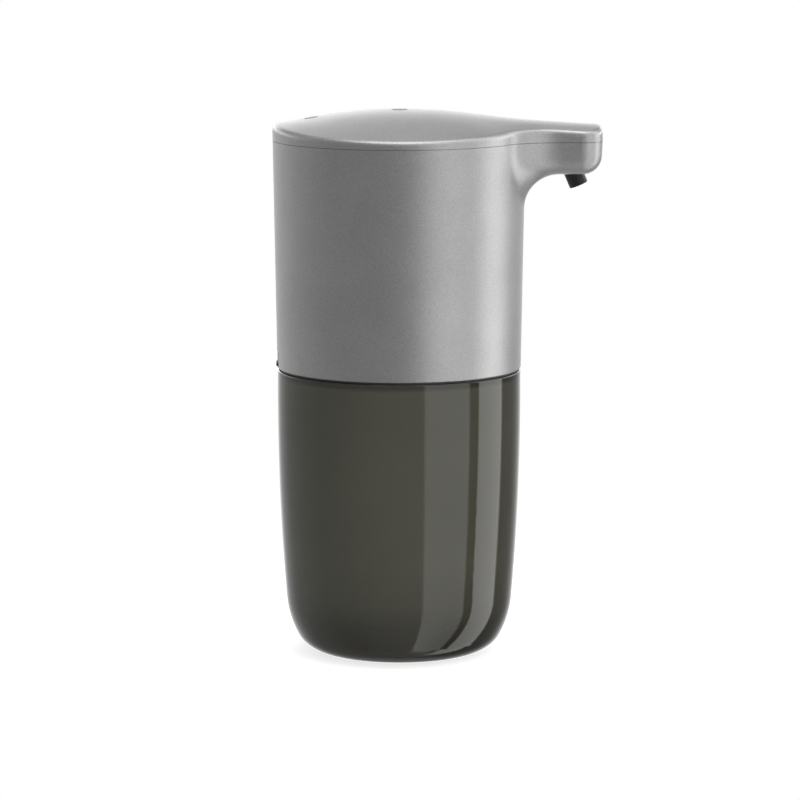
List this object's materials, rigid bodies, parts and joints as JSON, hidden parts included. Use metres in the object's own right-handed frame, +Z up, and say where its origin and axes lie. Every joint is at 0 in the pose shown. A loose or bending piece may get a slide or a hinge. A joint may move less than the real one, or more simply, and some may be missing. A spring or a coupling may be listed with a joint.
{
  "type": "automatic soap dispenser",
  "caption": "Free-standing automatic liquid dispenser: smoked cup under a tapered head with a flat spout, angled nozzle, hand sensor and gear pump.",
  "frame": {"origin": "middle of the base pad's underside", "axes": "+Z up through the cup and the head, +X from the axis toward the spout's tip, +Y to the side"},
  "size_m": [0.1102, 0.0846, 0.1835],
  "materials": {
    "shell": "satin silver metallic paint",
    "smoked_cup": "polished, smoked olive grey",
    "pad": "matt",
    "base": "fine moulded texture",
    "button": "satin",
    "seal": "smooth",
    "plug": "matt grey",
    "nozzle": "satin",
    "soft_tube": "milky silicone",
    "pump_case": "moulded",
    "pump_lid": "moulded",
    "gasket": "smooth",
    "gear": "natural acetal",
    "steel": "ground",
    "screw": "zinc plated",
    "motor_case": "plated, drawn",
    "motor_cap": "moulded",
    "brass_pinion": "cut",
    "bracket": "moulded",
    "board": "solder mask",
    "switch": "moulded",
    "eye": "dark lens",
    "window": "smoked, polished",
    "cell": "shrink sleeve",
    "contact": "plated",
    "cradle": "moulded",
    "socket": "drawn",
    "lead": "insulation"
  },
  "bodies": {
    "reservoir": {"reservoir": "smoked_cup", "base_pad": "pad"},
    "head": {"base_plate": "base", "reservoir_seal": "seal", "housing": "shell", "top_cover": "shell", "tact_switches": "steel", "control_board": "board", "board_screws": "screw", "cover_screws": "screw", "housing_screws": "screw", "pump_screws": "screw", "motor_screws": "screw", "nozzle": "nozzle", "nozzle_valve": "seal", "outlet_tube": "soft_tube", "sensor_window": "window", "sensor_eyes": "eye", "sensor_board": "board", "pump_body": "pump_case", "pump_gasket": "gasket", "pump_cover": "pump_lid", "shaft_seal": "seal", "idler_pin": "steel", "motor_can": "motor_case", "motor_end_cap": "motor_cap", "motor_bracket": "bracket", "pickup_tube": "soft_tube", "pickup_strainer": "nozzle", "battery_cell": "cell", "battery_contacts": "contact", "battery_cradle": "cradle", "charge_board": "board", "charge_socket": "socket", "battery_leads": "lead", "power_leads": "lead", "motor_leads": "lead", "sensor_leads": "lead"},
    "dose_button": {"dose_button": "button", "dose_plunger": "switch"},
    "power_button": {"power_button": "button", "power_plunger": "switch"},
    "charge_plug": {"charge_plug": "plug"},
    "pump_drive": {"pump_drive_gear": "gear", "drive_shaft": "steel", "reduction_gear": "gear"},
    "pump_idler": {"pump_idler_gear": "gear"},
    "motor_rotor": {"motor_shaft": "steel", "motor_pinion": "brass_pinion"}
  },
  "joints": [
    {"name": "head_lift", "type": "slide", "parent": "reservoir", "child": "head", "axis": [0, 0, 1], "range_m": [0, 0.1]},
    {"name": "dose_press", "type": "slide", "parent": "head", "child": "dose_button", "axis": [0, 0, -1], "range_m": [0, 0.0006], "stiffness_N_per_m": 1500, "springref_m": -0.0003},
    {"name": "power_press", "type": "slide", "parent": "head", "child": "power_button", "axis": [0, 0, -1], "range_m": [0, 0.0006], "stiffness_N_per_m": 1500, "springref_m": -0.0003},
    {"name": "plug_hinge", "type": "hinge", "parent": "head", "child": "charge_plug", "pos_m": [-0.03988, 0, 0.10125], "axis": [0, 1, 0], "range_deg": [0, 90]},
    {"name": "pump_drive_spin", "type": "hinge", "parent": "head", "child": "pump_drive", "pos_m": [0.008, -0.006, 0.1016], "axis": [0, 0, 1], "continuous": true},
    {"name": "pump_idler_spin", "type": "hinge", "parent": "head", "child": "pump_idler", "pos_m": [0.008, 0.006, 0.1016], "axis": [0, 0, 1], "continuous": true},
    {"name": "motor_spin", "type": "hinge", "parent": "head", "child": "motor_rotor", "pos_m": [0.008, -0.0198, 0.112], "axis": [0, 0, 1], "continuous": true}
  ],
  "couplings": [
    {"joint": "pump_idler_spin", "follows": "pump_drive_spin", "ratio": -1},
    {"joint": "motor_spin", "follows": "pump_drive_spin", "ratio": -3.6}
  ]
}
